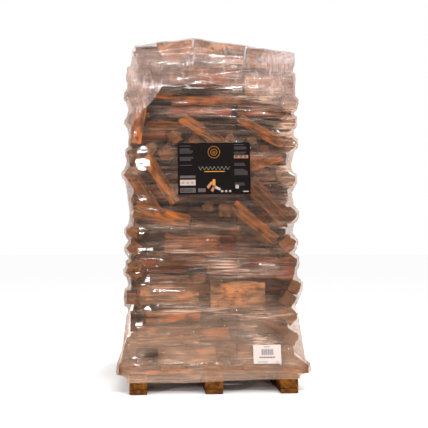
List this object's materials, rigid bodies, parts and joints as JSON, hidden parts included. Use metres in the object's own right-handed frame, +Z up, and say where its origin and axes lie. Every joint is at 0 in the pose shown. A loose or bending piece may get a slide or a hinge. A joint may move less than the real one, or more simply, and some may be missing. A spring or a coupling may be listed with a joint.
{
  "type": "firewood bundle on a pallet",
  "caption": "Split firewood logs stacked on a block pallet, under a film cover sheet and wound in clear stretch film, with a dark poster label and a small barcode label.",
  "frame": {"origin": "on the ground under the middle of the pallet", "axes": "+Z up, -Y out of the front that carries the labels, +X to the right seen from the front"},
  "size_m": [0.808, 1.207, 1.505],
  "materials": {
    "pallet_wood": "rough sawn",
    "split_wood": "split, dry",
    "stretch_film": "clear and glossy, hazy where it lies in many layers",
    "poster_print": "satin print",
    "ticket_paper": "satin"
  },
  "bodies": {
    "root": {"pallet_runner_left": "pallet_wood", "pallet_runner_middle": "pallet_wood", "pallet_runner_right": "pallet_wood", "pallet_block_left_front": "pallet_wood", "pallet_block_left_middle": "pallet_wood", "pallet_block_left_back": "pallet_wood", "pallet_block_middle_front": "pallet_wood", "pallet_block_middle_middle": "pallet_wood", "pallet_block_middle_back": "pallet_wood", "pallet_block_right_front": "pallet_wood", "pallet_block_right_middle": "pallet_wood", "pallet_block_right_back": "pallet_wood", "pallet_cross_board_front": "pallet_wood", "pallet_cross_board_middle": "pallet_wood", "pallet_cross_board_back": "pallet_wood", "pallet_deck_board_1": "pallet_wood", "pallet_deck_board_2": "pallet_wood", "pallet_deck_board_3": "pallet_wood", "pallet_deck_board_4": "pallet_wood", "pallet_deck_board_5": "pallet_wood", "front_log_01": "split_wood", "front_log_02": "split_wood", "front_log_03": "split_wood", "front_log_04": "split_wood", "front_log_05": "split_wood", "front_log_06": "split_wood", "front_log_07": "split_wood", "front_log_08": "split_wood", "front_log_09": "split_wood", "front_log_10": "split_wood", "front_log_11": "split_wood", "front_log_12": "split_wood", "front_log_13": "split_wood", "front_log_14": "split_wood", "front_log_15": "split_wood", "front_log_16": "split_wood", "front_log_17": "split_wood", "front_log_18": "split_wood", "front_log_19": "split_wood", "front_log_20": "split_wood", "front_log_21": "split_wood", "front_log_22": "split_wood", "front_log_23": "split_wood", "front_log_24": "split_wood", "logs_left_lower": "split_wood", "logs_left_middle": "split_wood", "logs_left_upper": "split_wood", "logs_right_lower": "split_wood", "logs_right_middle": "split_wood", "logs_right_upper": "split_wood", "logs_back_lower": "split_wood", "logs_back_middle": "split_wood", "logs_back_upper": "split_wood", "logs_core_lower": "split_wood", "logs_core_upper": "split_wood", "logs_top": "split_wood", "film_wrap": "stretch_film", "film_cover_sheet": "stretch_film", "poster_label": "poster_print", "barcode_label": "ticket_paper"}
  },
  "joints": []
}
